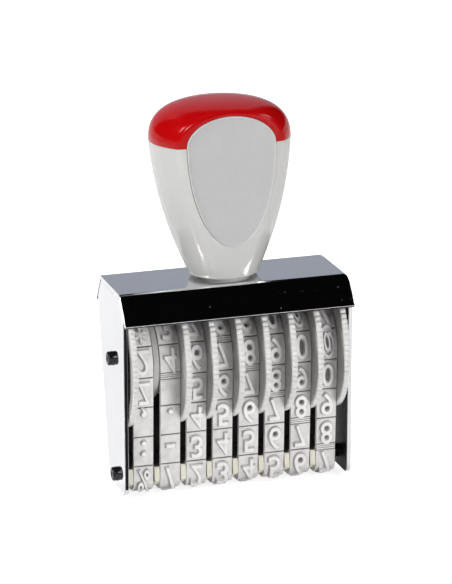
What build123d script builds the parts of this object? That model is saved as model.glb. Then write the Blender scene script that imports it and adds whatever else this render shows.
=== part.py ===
"""Hand numbering stamp: a sheet-metal frame with a hood, eight thumb wheels on one axle,
eight rubber number bands running round a comb-shaped bridge, and a pear-shaped handle.

Millimetres. X runs along the axle, -Y is the front, Z is up.
The origin is on the printing face, under the middle of the frame.
"""
from build123d import *
from math import acos, atan2, cos, degrees, pi, radians, sin
import os

# ---------------------------------------------------------------- driving dimensions
# frame, bent from one sheet
sheet = 1.2                 # sheet thickness
wheel_headroom = 0.4        # teeth of the wheels to the underside of the top plate
left_end_gap = 0.35         # first wheel to the left side plate
right_end_gap = 1.07        # last wheel to the right side plate
top_depth = 25.2            # flat of the top plate, front to rear
hood_depth = 38.8           # over the lower edges of the two sloping lips
lip_drop = 8.3              # top plate down to the outer edge of a lip's end
plate_foot = 1.2            # side plate's lower edge above the printing face
plate_foot_depth = 20.6     # side plate, front to rear, at its foot
plate_head_depth = 33.2     # side plate, front to rear, at the lower edge of the lips
foot_radius = 3.0           # rounding of the two lower corners of a side plate
bend_radius = 0.6           # inside radius of the bends
lip_slit = 0.3              # open slit between a side plate and a lip
corner_relief = 1.4         # bend relief at each corner of the top plate

# axle and bridge pin
axle_height = 41.6          # wheel axle above the printing face
pin_height = 5.6            # bridge pin above the printing face
rod_diameter = 4.2          # both rods
rod_overhang = 1.6          # rod end proud of each side plate
rod_chamfer = 0.5
seat_clearance = 0.02       # radial, rod in its side plate

# thumb wheels
wheel_count = 8
flange_radius = 21.0        # over the teeth
flange_thickness = 1.65
tooth_count = 78
tooth_depth = 0.5
drum_radius = 11.9
web_recess = 0.5            # shallow dish in the outer face of a flange
rim_width = 3.0             # plain rim left round the dish
hub_radius = 4.6
wheel_gap = 0.11            # between neighbours on the axle
bore_clearance = 0.05       # radial, wheel on axle
spacer_width = 1.7          # smooth disc between the first and the second wheel
spacer_radius = 12.9

# rubber bands
band_width = 6.2
band_base = 0.85            # plain band thickness
relief = 1.1                # character block above the band
face_width = 4.0            # printing face of a block, across the band
cell_count = 14             # character blocks round one band
groove_floor = 0.35         # band left bare between two blocks
block_slope = 14.0          # degrees, end walls of a block off the band's normal
band_clearance = 0.25       # band to the turning drum
band_side_gap = 0.05        # band to the flange beside it
bridge_clearance = 0.1      # band to the bridge

# comb-shaped bridge
bridge_radius = 3.0         # rounding of the two lower edges that the bands run over
bridge_depth = 12.9         # front to rear, inside the bands
bridge_top = 9.4
bridge_end_gap = 0.1        # bridge to the left side plate; it ends beside the last band
fin_depth = 16.2            # dividers, front to rear
fin_foot = 3.6              # divider's lower edge above the printing face
fin_side_gap = 0.13         # divider to the band beside it
fin_radius = 1.5

# handle
foot_step_height = 0.8      # smaller step under the handle, which leaves a shadow gap
foot_step_radius = 8.0
handle_foot_radius = 10.65
foot_rounding = 0.9
foot_flare = 0.47           # widening of the handle per mm of height, at its foot
seam_flare = 0.08           # the same at the seam
handle_seam = 41.0          # body to cap, above the top plate
handle_height = 53.9
handle_radius = 21.1        # at the seam
cap_fullness = 0.71         # 0.55 is an ellipsoid, 1 a flat-topped cylinder
facet_distance = 14.2       # flat front of the handle to its axis
facet_rounding = 4.0        # where the flat runs out into the turned form
label_foot = 11.7           # lower tip of the label above the top plate
label_waist = 1.1           # widest line of the label above the seam
label_crown = 3.2           # top of the label below the top of the handle
label_margin = 2.2          # flat left on each side of the label
label_thickness = 0.9
label_proud = 0.4           # label in front of the flat
label_gap = 0.15            # groove round the label
label_rim = 0.5
label_recess = 0.25
handle_wall = 1.9           # behind the label
handle_floor = 4.0          # between the stud's hole and the hollow
cavity_foot_radius = 7.5    # hollow of the handle body at its floor
spigot_height = 4.0
spigot_wall = 2.0
spigot_clearance = 0.1

# handle fixing
stud_diameter = 6.0
stud_head_diameter = 9.0
stud_reach = 14.0           # above the top plate
stud_tip_gap = 1.0          # stud's tip to the end of its hole
insert_diameter = 9.0
insert_length = 12.0
thread_clearance = 0.05

# ---------------------------------------------------------------- derived places
drum_width = band_width + 2 * band_side_gap
wheel_pitch = drum_width + flange_thickness + wheel_gap
stack_width = wheel_count * wheel_pitch + spacer_width      # wheels and spacer with the gaps between them
inner_half = (left_end_gap + stack_width + right_end_gap) / 2
half_width = inner_half + sheet
first_drum = -inner_half + left_end_gap + flange_thickness + drum_width / 2
second_drum = first_drum + drum_width + spacer_width + 2 * wheel_gap
spacer_centre = (first_drum + second_drum) / 2
drum_centres = [first_drum] + [second_drum + wheel_pitch * i for i in range(wheel_count - 1)]
fin_thickness = wheel_pitch - band_width - 2 * fin_side_gap

frame_top = axle_height + flange_radius + wheel_headroom + sheet
lip_z = frame_top - lip_drop

loop_top_radius = drum_radius + band_clearance
loop_foot = relief + band_base                      # inside of the band, above the printing face
loop_corner_radius = bridge_radius + bridge_clearance
loop_corner_y = bridge_depth / 2 + bridge_clearance - loop_corner_radius
loop_corner_z = loop_foot + loop_corner_radius

handle_z = frame_top                                # the handle stands on the top plate
facet_half = (handle_radius**2 - facet_distance**2) ** 0.5
facet_seat = facet_distance + label_proud - label_thickness
cavity_radius = facet_seat - handle_wall
cavity_foot = stud_reach + stud_tip_gap + handle_floor

through = 2 * (frame_top + handle_height)           # cutters run right through what they cut


# ---------------------------------------------------------------- frame
def bend_outline(top_half, foot_half, foot_z, low_z):
    """Outside of a sheet bent down at both ends of its flat top, its legs extended to low_z."""
    slope = (foot_half - top_half) / (frame_top - foot_z)
    low_half = foot_half + slope * (foot_z - low_z)
    outline = Polygon(
        (-low_half, low_z), (-top_half, frame_top), (top_half, frame_top), (low_half, low_z), align=None
    )
    return fillet(outline.vertices().sort_by(Axis.Y)[-2:], bend_radius + sheet)


def bent_sheet(top_half, foot_half, foot_z):
    """Section of the bent sheet, its legs cut off square where their outside reaches foot_z."""
    spare = 2 * sheet
    outline = bend_outline(top_half, foot_half, foot_z, foot_z - spare)
    below = Pos(0, foot_z - sheet) * Rectangle(through, spare, align=(Align.CENTER, Align.MAX))
    section = outline - offset(outline, amount=-sheet, kind=Kind.INTERSECTION) - below
    lean = degrees(atan2(foot_half - top_half, frame_top - foot_z))
    for side in (-1, 1):
        end = Rectangle(4 * spare, 2 * spare, align=(Align.CENTER, Align.MAX))
        section -= Pos(side * foot_half, foot_z) * Rot(0, 0, side * lean) * end
    return section


def side_plate_outline():
    """Tapered side plate, which stops short of the lips and meets only the flat of the top plate."""
    foot_half, head_half = plate_foot_depth / 2, plate_head_depth / 2
    slope = (head_half - foot_half) / (lip_z - plate_foot)
    top_half = head_half + slope * lip_drop
    plate = Polygon(
        (-foot_half, plate_foot), (-top_half, frame_top), (top_half, frame_top), (foot_half, plate_foot),
        align=None,
    )
    plate = fillet(plate.vertices().sort_by(Axis.Y)[:2], foot_radius)
    hood = bend_outline(top_depth / 2, hood_depth / 2, lip_z, plate_foot - foot_radius)
    plate &= offset(hood, amount=-(sheet + lip_slit), kind=Kind.INTERSECTION)
    neck_height = bend_radius + 2 * sheet
    neck = Pos(0, frame_top) * Rectangle(
        top_depth - 2 * corner_relief, neck_height, align=(Align.CENTER, Align.MAX)
    )
    return plate + neck


def cross_rod(diameter, length):
    """A round bar along X."""
    return Rot(0, 90, 0) * Cylinder(diameter / 2, length)


def make_frame():
    hood = extrude(Plane.YZ * bent_sheet(top_depth / 2, hood_depth / 2, lip_z), half_width, both=True)
    ends = bend_outline(half_width, half_width, plate_foot, plate_foot)
    hood &= extrude(Plane.XZ * ends, hood_depth, both=True)
    sides = extrude(Plane.XZ * bent_sheet(half_width, half_width, plate_foot), hood_depth, both=True)
    sides &= extrude(Plane.YZ * side_plate_outline(), through, both=True)
    frame = hood + sides
    for height in (axle_height, pin_height):
        frame -= Pos(0, 0, height) * cross_rod(rod_diameter + 2 * seat_clearance, through)
    hole = Cylinder(stud_head_diameter / 2 + seat_clearance, 2 * (sheet + bend_radius))
    return frame - Pos(0, 0, frame_top) * hole


def make_rod(height):
    """Axle or bridge pin, right through both side plates."""
    rod = cross_rod(rod_diameter, 2 * (half_width + rod_overhang))
    return Pos(0, 0, height) * chamfer(rod.edges().filter_by(GeomType.CIRCLE), rod_chamfer)


# ---------------------------------------------------------------- wheels
def toothed_disc():
    """Thumb flange: V teeth all round, on Plane.YZ."""
    points = []
    for index in range(tooth_count):
        for turn, radius in ((0, flange_radius), (0.5, flange_radius - tooth_depth)):
            angle = 2 * pi * (index + turn) / tooth_count
            points.append((radius * cos(angle), radius * sin(angle)))
    return Plane.YZ * Polygon(*points, align=None)


def make_wheel(flange_side):
    """Drum centred on X = 0, with its flange at flange_side (-1 left, 1 right)."""
    bore = cross_rod(rod_diameter + 2 * bore_clearance, through)
    disc = extrude(toothed_disc(), flange_thickness)
    dish = cross_rod(2 * (flange_radius - tooth_depth - rim_width), web_recess)
    dish -= cross_rod(2 * hub_radius, web_recess)
    disc -= Pos(flange_thickness - web_recess / 2, 0, 0) * dish
    wheel = cross_rod(2 * drum_radius, drum_width) + Pos(drum_width / 2, 0, 0) * disc - bore
    return wheel if flange_side > 0 else Rot(0, 0, 180) * wheel


def make_spacer():
    disc = cross_rod(2 * spacer_radius, spacer_width)
    return disc - cross_rod(rod_diameter + 2 * bore_clearance, through)


# ---------------------------------------------------------------- bands
class BandLoop:
    """The closed line of a band at a given distance outside its inner face, on Plane.YZ.

    It runs from the middle of the printing place, along the foot, up the front or the rear,
    and over the wheel. Both halves are alike.
    """

    def __init__(self, layer):
        self.foot_z = loop_foot - layer
        self.corner_radius = loop_corner_radius + layer
        self.top_radius = loop_top_radius + layer
        run_y, run_z = loop_corner_y, loop_corner_z - axle_height
        distance = (run_y**2 + run_z**2) ** 0.5
        self.tilt = atan2(run_z, run_y) + acos((loop_top_radius - loop_corner_radius) / distance)
        self.corner_turn = pi / 2 + self.tilt
        self.run = (distance**2 - (loop_top_radius - loop_corner_radius) ** 2) ** 0.5
        self.corner_length = self.corner_radius * self.corner_turn
        self.top_length = self.top_radius * (pi - 2 * self.tilt)
        self.length = 2 * (loop_corner_y + self.corner_length + self.run) + self.top_length

    def place(self, distance):
        """Point (y, z) and the outward direction, in radians, at a distance along the loop."""
        half = self.length / 2
        side = 1 if distance <= half else -1
        left = distance if side > 0 else self.length - distance
        if left <= loop_corner_y:
            y, z, out = left, self.foot_z, -pi / 2
        elif left <= loop_corner_y + self.corner_length:
            out = -pi / 2 + (left - loop_corner_y) / self.corner_radius
            y = loop_corner_y + self.corner_radius * cos(out)
            z = loop_corner_z + self.corner_radius * sin(out)
        elif left <= loop_corner_y + self.corner_length + self.run:
            out = self.tilt
            along = left - loop_corner_y - self.corner_length
            y = loop_corner_y + self.corner_radius * cos(out) - along * sin(out)
            z = loop_corner_z + self.corner_radius * sin(out) + along * cos(out)
        else:
            out = pi / 2 - (half - left) / self.top_radius
            y, z = self.top_radius * cos(out), axle_height + self.top_radius * sin(out)
        return (side * y, z, out if side > 0 else pi - out)

    def wire(self):
        """The loop as tangent lines and arcs."""
        stops = [0, loop_corner_y]
        stops.append(stops[-1] + self.corner_length)
        stops.append(stops[-1] + self.run)
        points = [self.place(stop)[:2] for stop in stops[1:]]
        mirrored = [(-y, z) for y, z in points]
        middle = self.place(loop_corner_y + self.corner_length / 2)[:2]
        return Wire([
            Line(mirrored[0], points[0]).edge(),
            ThreePointArc(points[0], middle, points[1]).edge(),
            Line(points[1], points[2]).edge(),
            ThreePointArc(points[2], (0, axle_height + self.top_radius), mirrored[2]).edge(),
            Line(mirrored[2], mirrored[1]).edge(),
            ThreePointArc(mirrored[1], (-middle[0], middle[1]), mirrored[0]).edge(),
        ])


def make_band():
    """Plain band with its ring of character blocks, centred on X = 0."""
    outside = extrude(Plane.YZ * Face(BandLoop(band_base).wire()), band_width / 2, both=True)
    inside = extrude(Plane.YZ * Face(BandLoop(0).wire()), band_width, both=True)
    band = outside - inside
    blocks = extrude(Plane.YZ * Face(BandLoop(band_base + relief).wire()), band_width / 2, both=True)
    shoulder = (band_width - face_width) / 2
    side_faces = blocks.faces().sort_by(Axis.X)
    blocks = chamfer(side_faces[0].edges() + side_faces[-1].edges(), shoulder, relief)
    blocks -= extrude(Plane.YZ * Face(BandLoop(band_base / 2).wire()), band_width, both=True)
    line = BandLoop(band_base)
    flare = relief * 2 * sin(radians(block_slope)) / cos(radians(block_slope))
    groove = Polygon(
        (0, -groove_floor / 2), (0, groove_floor / 2), (2 * relief, groove_floor / 2 + flare),
        (2 * relief, -groove_floor / 2 - flare), align=None,
    )
    for index in range(cell_count):
        y, z, out = line.place((index + 0.5) * line.length / cell_count)
        blocks -= extrude(Plane.YZ * (Pos(y, z) * Rot(0, 0, degrees(out)) * groove), band_width, both=True)
    return band + blocks


# ---------------------------------------------------------------- bridge
def make_bridge():
    """Comb between the side plates: a bar that the bands run over, with a divider beside each band."""
    left_end, right_end = bridge_end_gap - inner_half, drum_centres[-1] + drum_width / 2
    foot_z = loop_foot + bridge_clearance
    bar = Pos(0, foot_z) * Rectangle(bridge_depth, bridge_top - foot_z, align=(Align.CENTER, Align.MIN))
    bar = fillet(bar.vertices().sort_by(Axis.Y)[:2], bridge_radius)
    bridge = extrude(Plane.YZ.offset(left_end) * bar, right_end - left_end)
    fin = Pos(0, fin_foot) * RectangleRounded(
        fin_depth, bridge_top - fin_foot, fin_radius, align=(Align.CENTER, Align.MIN)
    )
    for centre in drum_centres:
        bridge += Pos(centre - wheel_pitch / 2, 0, 0) * extrude(Plane.YZ * fin, fin_thickness / 2, both=True)
    return bridge - Pos(0, 0, pin_height) * cross_rod(rod_diameter + 2 * seat_clearance, through)


# ---------------------------------------------------------------- handle
def handle_form():
    """The whole handle turned about its axis, with the flat front cut on it."""
    foot_top = foot_step_height + foot_rounding
    rise = (handle_seam - foot_top) / 3
    cap_height = handle_height - handle_seam
    side = Bezier(
        (handle_foot_radius, foot_top),
        (handle_foot_radius + foot_flare * rise, foot_top + rise),
        (handle_radius - seam_flare * rise, handle_seam - rise),
        (handle_radius, handle_seam),
    )
    dome_rise = cap_fullness * cap_height
    dome = Bezier(
        (handle_radius, handle_seam),
        (handle_radius + seam_flare * dome_rise, handle_seam + dome_rise),
        (handle_radius * cap_fullness, handle_height),
        (0, handle_height),
    )
    step, foot = (foot_step_radius, foot_step_height), (handle_foot_radius - foot_rounding, foot_step_height)
    outline = Wire([
        Line((0, 0), (foot_step_radius, 0)).edge(), Line((foot_step_radius, 0), step).edge(),
        Line(step, foot).edge(), Line(foot, (handle_foot_radius, foot_top)).edge(),
        side.edge(), dome.edge(), Line((0, handle_height), (0, 0)).edge(),
    ])
    form = Pos(0, 0, handle_z) * revolve(Plane.XZ * Face(outline), Axis.Z)
    front = Box(through, handle_radius, through, align=(Align.CENTER, Align.MAX, Align.CENTER))
    form -= Pos(0, -facet_distance, handle_z) * front
    return fillet(form.faces().sort_by(Axis.Y)[0].edges(), facet_rounding)


def label_outline(margin):
    """Egg outline, grown by margin: a long half-ellipse below its widest line and a short one above."""
    half = facet_half - label_margin + margin
    waist = handle_seam + label_waist
    halves = Sketch()
    for reach, keep in ((waist - label_foot, Align.MAX), (handle_height - label_crown - waist, Align.MIN)):
        window = Rectangle(2 * half, reach + margin, align=(Align.CENTER, keep))
        halves += Ellipse(half, reach + margin) & window
    return Pos(0, handle_z + waist) * halves


def front_slab(sketch, rear, front):
    """A sketch on Plane.XZ, made into a slab between two distances in front of the axis."""
    return extrude(Plane.XZ.offset(rear) * sketch, front - rear)


def label_pocket():
    return front_slab(label_outline(label_gap), facet_seat, facet_distance + handle_radius)


def make_handle_body():
    keep = Pos(0, 0, handle_z) * Cylinder(
        through, handle_seam, align=(Align.CENTER, Align.CENTER, Align.MIN)
    )
    body = (handle_form() & keep) - label_pocket()
    hollow = Pos(0, 0, handle_z + cavity_foot) * Cone(
        cavity_foot_radius, cavity_radius, handle_seam - cavity_foot,
        align=(Align.CENTER, Align.CENTER, Align.MIN),
    )
    socket = Cylinder(
        insert_diameter / 2 + seat_clearance, insert_length, align=(Align.CENTER, Align.CENTER, Align.MIN)
    )
    stud_hole = Cylinder(stud_diameter / 2 + thread_clearance, 2 * (stud_reach + stud_tip_gap))
    return body - hollow - Pos(0, 0, handle_z) * (socket + stud_hole)


def make_handle_cap():
    keep = Pos(0, 0, handle_z + handle_seam) * Cylinder(
        through, through, align=(Align.CENTER, Align.CENTER, Align.MIN)
    )
    cap = (handle_form() & keep) - label_pocket()
    grow = (cavity_radius - cavity_foot_radius) / (handle_seam - cavity_foot)
    foot_radius_in = cavity_radius - grow * spigot_height - spigot_clearance
    spigot = Cone(
        foot_radius_in, cavity_radius - spigot_clearance, spigot_height,
        align=(Align.CENTER, Align.CENTER, Align.MAX),
    )
    bore = Cylinder(
        foot_radius_in - spigot_wall, spigot_height, align=(Align.CENTER, Align.CENTER, Align.MAX)
    )
    return cap + Pos(0, 0, handle_z + handle_seam) * (spigot - bore)


def make_label():
    plate = front_slab(label_outline(0), facet_seat, facet_seat + label_thickness)
    floor = facet_seat + label_thickness - label_recess
    return plate - front_slab(label_outline(-label_rim), floor, floor + 2 * label_recess)


def make_insert():
    body = Cylinder(insert_diameter / 2, insert_length, align=(Align.CENTER, Align.CENTER, Align.MIN))
    thread = Cylinder(stud_diameter / 2 + thread_clearance, through)
    return Pos(0, 0, handle_z) * (body - thread)


def make_stud():
    """Clinched stud: its head sits flush in the top plate, so the wheels pass under it."""
    head = Cylinder(stud_head_diameter / 2, sheet, align=(Align.CENTER, Align.CENTER, Align.MAX))
    shank = Cylinder(stud_diameter / 2, stud_reach, align=(Align.CENTER, Align.CENTER, Align.MIN))
    return Pos(0, 0, frame_top) * (head + chamfer(shank.edges().sort_by(Axis.Z)[-1], rod_chamfer))


# ---------------------------------------------------------------- assembly
parts = {
    "frame": make_frame(),
    "wheel_axle": make_rod(axle_height),
    "bridge_pin": make_rod(pin_height),
    "comb_bridge": make_bridge(),
    "spacer_disc": Pos(spacer_centre, 0, axle_height) * make_spacer(),
    "handle_body": make_handle_body(),
    "handle_cap": make_handle_cap(),
    "front_label_plate": make_label(),
    "threaded_insert": make_insert(),
    "handle_stud": make_stud(),
}
plain_band = make_band()
for number, centre in enumerate(drum_centres, start=1):
    flange_side = -1 if number == 1 else 1
    parts[f"wheel_{number}"] = Pos(centre, 0, axle_height) * make_wheel(flange_side)
    parts[f"band_{number}"] = Pos(centre, 0, 0) * plain_band

os.makedirs("parts", exist_ok=True)
for name, solid in parts.items():
    export_step(solid, f"parts/{name}.step")
print("band loop", round(BandLoop(band_base / 2).length, 2), "mm")
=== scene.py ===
import bpy
import bmesh
from math import acos, atan2, cos, hypot, pi, radians, sin, sqrt
from mathutils import Matrix, Vector


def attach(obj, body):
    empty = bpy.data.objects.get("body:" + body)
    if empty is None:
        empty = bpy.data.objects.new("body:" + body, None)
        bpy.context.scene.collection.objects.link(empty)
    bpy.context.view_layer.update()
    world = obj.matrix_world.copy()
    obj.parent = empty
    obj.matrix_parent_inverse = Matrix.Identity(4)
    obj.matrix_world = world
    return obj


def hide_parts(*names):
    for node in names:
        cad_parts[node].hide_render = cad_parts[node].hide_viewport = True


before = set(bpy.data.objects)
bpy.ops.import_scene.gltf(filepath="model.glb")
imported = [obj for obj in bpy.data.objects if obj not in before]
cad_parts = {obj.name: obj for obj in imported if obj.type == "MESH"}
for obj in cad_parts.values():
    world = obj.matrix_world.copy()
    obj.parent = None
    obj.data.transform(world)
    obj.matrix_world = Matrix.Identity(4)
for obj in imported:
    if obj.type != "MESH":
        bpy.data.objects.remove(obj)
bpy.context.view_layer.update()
mm = 0.001
print("stage: frame loaded,", len(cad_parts), "nodes")


def putOut(name, data):
    # a new object, linked into the scene
    item = bpy.data.objects.new(name, data)
    bpy.context.scene.collection.objects.link(item)
    return item


def finishedMesh(name, build):
    mesh = bpy.data.meshes.new(name)
    build.to_mesh(mesh)
    build.free()
    return mesh


def takeMesh(item):
    # the mesh of an object with its modifiers applied, or of its text; the object itself goes
    depsgraph = bpy.context.evaluated_depsgraph_get()
    mesh = bpy.data.meshes.new_from_object(item.evaluated_get(depsgraph))
    bpy.data.objects.remove(item)
    return mesh


def meshFromRings(name, rings, joined=False):
    # rings of one length each, or single points where the form closes
    # joined ties the last ring to the first
    build = bmesh.new()
    rows = [[build.verts.new(point) for point in ring] for ring in rings]
    pairs = list(zip(rows, rows[1:]))
    if joined:
        pairs.append((rows[-1], rows[0]))
    for lower, upper in pairs:
        count = max(len(lower), len(upper))
        for i in range(count):
            j = (i + 1) % count
            corners = [lower[i % len(lower)], lower[j % len(lower)],
                       upper[j % len(upper)], upper[i % len(upper)]]
            build.faces.new(list(dict.fromkeys(corners)))
    bmesh.ops.recalc_face_normals(build, faces=build.faces)
    return finishedMesh(name, build)


def smoothShade(mesh, sharpAngle=32):
    mesh.shade_smooth()
    mesh.set_sharp_from_angle(angle=radians(sharpAngle))
    return mesh


def evenShade(mesh):
    # lets the large faces set the shading, so flats stay flat beside rounded edges
    holder = putOut("holder", mesh)
    step = holder.modifiers.new("weights", "WEIGHTED_NORMAL")
    step.keep_sharp = True
    step.weight = 100
    result = takeMesh(holder)
    result.name = mesh.name + "Even"
    return result


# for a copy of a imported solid: what counts as one point (mm), and as flat, sharp and smooth (degrees)
softening = {"merge": 0.002, "flatAngle": 0.8, "sharpAngle": 32, "smoothAngle": 50, "segments": 2}


def softEdgedCopy(node, width, leftHard=None):
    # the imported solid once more, with its hard edges rounded off, but for those leftHard picks out
    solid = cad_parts[node].data
    build = bmesh.new()
    build.from_mesh(solid)
    bmesh.ops.remove_doubles(build, verts=build.verts, dist=softening["merge"] * mm)
    bmesh.ops.dissolve_limit(build, angle_limit=radians(softening["flatAngle"]),
                             verts=build.verts, edges=build.edges)
    sharp = radians(softening["sharpAngle"])
    hard = [e for e in build.edges if len(e.link_faces) == 2 and e.calc_face_angle(0) > sharp]
    if leftHard:
        hard = [e for e in hard if not leftHard(e)]
    bmesh.ops.bevel(build, geom=hard, offset=width * mm, segments=softening["segments"], profile=0.5,
                    affect="EDGES", clamp_overlap=False)
    bmesh.ops.recalc_face_normals(build, faces=build.faces)
    low, high = ([pick(v.co[i] for v in solid.vertices) for i in range(3)] for pick in (min, max))
    for v in build.verts:                     # no rounding reaches out of the solid's own box
        v.co = [min(max(v.co[i], low[i]), high[i]) for i in range(3)]
    return evenShade(smoothShade(finishedMesh(node + "Soft", build), softening["smoothAngle"]))


def cutAway(mesh, cutterMesh):
    # what is left of one mesh after another is taken out of it
    blank, cutter = putOut("blank", mesh), putOut("cutter", cutterMesh)
    step = blank.modifiers.new("pocket", "BOOLEAN")
    step.object = cutter
    step.operation = "DIFFERENCE"
    step.solver = "EXACT"
    result = takeMesh(blank)
    bpy.data.objects.remove(cutter)
    result.materials.clear()
    return result


def addPiece(name, mesh, finishes, body, replaced, x=0.0):
    piece = putOut(name, mesh)
    piece.location.x = x * mm
    if not mesh.materials:                    # wheels share a mesh
        for key in finishes:
            mesh.materials.append(finish[key])
    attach(piece, body)
    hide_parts(replaced)


def emptyTree(owner):
    # the node tree of a material or a world, with nothing in it
    owner.use_nodes = True
    owner.node_tree.nodes.clear()
    return owner.node_tree


def newGroup(name, inputs, outputs):
    group = bpy.data.node_groups.new(name, "ShaderNodeTree")
    for label, kind, value in inputs:
        socket = group.interface.new_socket(label, in_out="INPUT", socket_type="NodeSocket" + kind)
        socket.default_value = value
    for label, kind in outputs:
        group.interface.new_socket(label, in_out="OUTPUT", socket_type="NodeSocket" + kind)
    return group, group.nodes.new("NodeGroupInput"), group.nodes.new("NodeGroupOutput")


def setSockets(node, values):
    for label, value in values.items():
        node.inputs[label.replace("_", " ")].default_value = value
    return node


def addNode(tree, kind, **values):
    return setSockets(tree.nodes.new("ShaderNode" + kind), values)


def wire(tree, *joints):
    # each joint: a node, its output, another node, its input
    for source, given, target, taken in joints:
        tree.links.new(source.outputs[given], target.inputs[taken])


def mathNode(tree, operation, first, second):
    node = addNode(tree, "Math")
    node.operation = operation
    for slotIndex, value in enumerate((first, second)):
        if isinstance(value, (int, float)):
            node.inputs[slotIndex].default_value = value
        else:
            tree.links.new(value, node.inputs[slotIndex])
    return node.outputs[0]


def buildMottle():
    # soft cloudiness between two colours
    group, given, made = newGroup(
        "softMottle",
        [("Color A", "Color", (1, 1, 1, 1)), ("Color B", "Color", (0.8, 0.8, 0.8, 1)),
         ("Scale", "Float", 120.0)],
        [("Color", "Color")])
    where, cloud = addNode(group, "TexCoord"), addNode(group, "TexNoise", Detail=4.0, Roughness=0.6)
    spread = addNode(group, "MapRange", From_Min=0.35, From_Max=0.7)
    mix = addNode(group, "Mix")
    mix.data_type = "RGBA"
    wire(group, (where, "Object", cloud, "Vector"), (given, "Scale", cloud, "Scale"),
         (cloud, "Fac", spread, "Value"), (spread, "Result", mix, "Factor"),
         (given, "Color A", mix, "A"), (given, "Color B", mix, "B"), (mix, "Result", made, "Color"))
    return group


def buildGrain():
    # fine grain that can be drawn out along one direction, as height and as roughness
    group, given, made = newGroup(
        "fineGrain",
        [("Stretch", "Vector", (1, 1, 1)), ("Scale", "Float", 1500.0),
         ("Roughness Low", "Float", 0.1), ("Roughness High", "Float", 0.2)],
        [("Height", "Float"), ("Roughness", "Float")])
    where, drawn = addNode(group, "TexCoord"), addNode(group, "VectorMath")
    drawn.operation = "MULTIPLY"
    grain = addNode(group, "TexNoise", Detail=3.0)
    span = addNode(group, "MapRange", From_Min=0.3, From_Max=0.7)
    wire(group, (where, "Object", drawn, 0), (given, "Stretch", drawn, 1),
         (drawn, "Vector", grain, "Vector"), (given, "Scale", grain, "Scale"),
         (given, "Roughness Low", span, "To Min"), (given, "Roughness High", span, "To Max"),
         (grain, "Fac", span, "Value"), (grain, "Fac", made, "Height"),
         (span, "Result", made, "Roughness"))
    return group


def buildSpecks():
    # scattered dust specks: a mask that is 1 on a speck
    group, given, made = newGroup(
        "dustSpecks",
        [("Scale", "Float", 300.0), ("Size", "Float", 0.1), ("Share", "Float", 0.2)],
        [("Mask", "Float")])
    where, cells = addNode(group, "TexCoord"), addNode(group, "TexVoronoi")
    parted = addNode(group, "SeparateColor")
    wire(group, (where, "Object", cells, "Vector"), (given, "Scale", cells, "Scale"),
         (cells, "Color", parted, "Color"))
    near = mathNode(group, "LESS_THAN", cells.outputs["Distance"], given.outputs["Size"])
    chosen = mathNode(group, "LESS_THAN", parted.outputs["Red"], given.outputs["Share"])
    group.links.new(mathNode(group, "MULTIPLY", near, chosen), made.inputs["Mask"])
    return group


effects = {"mottle": buildMottle(), "grain": buildGrain(), "specks": buildSpecks()}


def placeEffect(tree, name, **values):
    node = tree.nodes.new("ShaderNodeGroup")
    node.node_tree = effects[name]
    return setSockets(node, values)


# depth of the fine bump, in metres
bumpDepth = {"moulded": 0.00005, "steel": 0.00004, "sheet": 0.00003}


def makeFinish(name, colourA, colourB, cloudScale, roughness, grainScale, bump,
               kind="moulded", stretch=(1, 1, 1), **constants):
    # cloudy colour, uneven gloss and a fine skin; moulded plastic or rubber if nothing else is said
    material = bpy.data.materials.new(name)
    material.use_nodes = True
    tree = material.node_tree
    shader = setSockets(tree.nodes["Principled BSDF"], constants)
    shader.inputs["Metallic"].default_value = 0.0 if kind == "moulded" else 1.0
    mottle = placeEffect(tree, "mottle", Color_A=colourA, Color_B=colourB, Scale=cloudScale)
    grain = placeEffect(tree, "grain", Scale=grainScale, Stretch=stretch,
                        Roughness_Low=roughness[0], Roughness_High=roughness[1])
    skin = addNode(tree, "Bump", Strength=bump, Distance=bumpDepth[kind])
    wire(tree, (mottle, "Color", shader, "Base Color"), (grain, "Roughness", shader, "Roughness"),
         (grain, "Height", skin, "Height"), (skin, "Normal", shader, "Normal"))
    return material


def grey(level, warm=0.0):
    return (level * (1 + warm), level, level * (1 - warm), 1)


frameFinish = {
    "colours": ((0.90, 0.905, 0.93, 1), (0.86, 0.865, 0.89, 1)), "cloudScale": 60.0,
    "grainScale": 900.0, "stretch": (0.05, 1.0, 1.0), "bump": 0.06,
    "specks": {"Scale": 420.0, "Size": 0.09, "Share": 0.4}, "speckDepth": 0.12,
}
steelFinish = {"cloudScale": 700.0, "darker": 0.7, "grainScale": 2500.0, "bump": 0.1}
rubberFinish = {"grainScale": 2200.0, "bump": 0.5}


def makeFrameMetal(name, roughness):
    # bright drawn sheet with a little dust on it
    given = frameFinish
    material = makeFinish(name, *given["colours"], given["cloudScale"], roughness, given["grainScale"],
                          given["bump"], "sheet", given["stretch"])
    tree = material.node_tree
    specks = placeEffect(tree, "specks", **given["specks"])
    thinned = mathNode(tree, "MULTIPLY", specks.outputs["Mask"], given["speckDepth"])
    dusted = mathNode(tree, "SUBTRACT", 1.0, thinned)
    tree.links.new(dusted, tree.nodes["Principled BSDF"].inputs["Metallic"])
    return material


def makeSteel(name, colour, roughness):
    darker = tuple(c * steelFinish["darker"] for c in colour[:3]) + (1,)
    return makeFinish(name, colour, darker, steelFinish["cloudScale"], roughness,
                      steelFinish["grainScale"], steelFinish["bump"], "steel")


def makeRubber(name, colourA, colourB, cloudScale=330.0, roughness=(0.5, 0.7)):
    return makeFinish(name, colourA, colourB, cloudScale, roughness,
                      rubberFinish["grainScale"], rubberFinish["bump"])


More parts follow.
